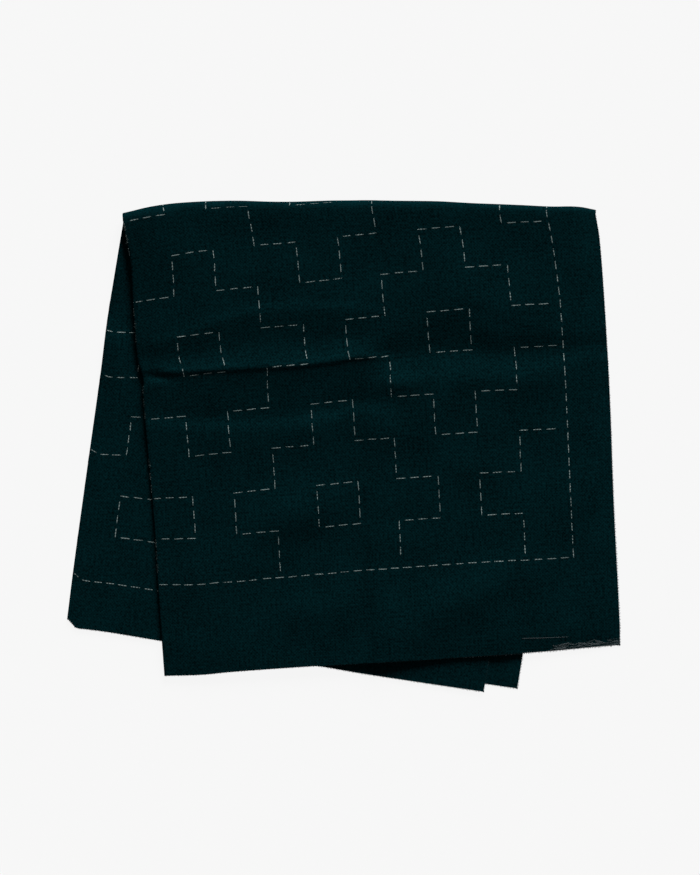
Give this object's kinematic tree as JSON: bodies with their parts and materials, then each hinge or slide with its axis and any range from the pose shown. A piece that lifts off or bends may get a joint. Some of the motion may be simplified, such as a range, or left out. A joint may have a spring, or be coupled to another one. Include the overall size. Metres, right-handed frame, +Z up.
{
  "type": "folded sashiko sampler cloth",
  "caption": "Indigo cotton sampler cloth, printed with a stepped diamond guide for sashiko stitching, folded small and lying flat.",
  "frame": {"origin": "middle of the folded outline seen from above, on the surface that the cloth lies on", "axes": "+X across the folded cloth to the right, +Y towards the top fold, +Z up from the surface"},
  "size_m": [0.2012, 0.1786, 0.0098],
  "materials": {
    "indigo_cotton": "matt plain weave, printed on its outer side with a thin pale dashed guide"
  },
  "bodies": {
    "root": {"sampler_cloth": "indigo_cotton"}
  },
  "joints": []
}
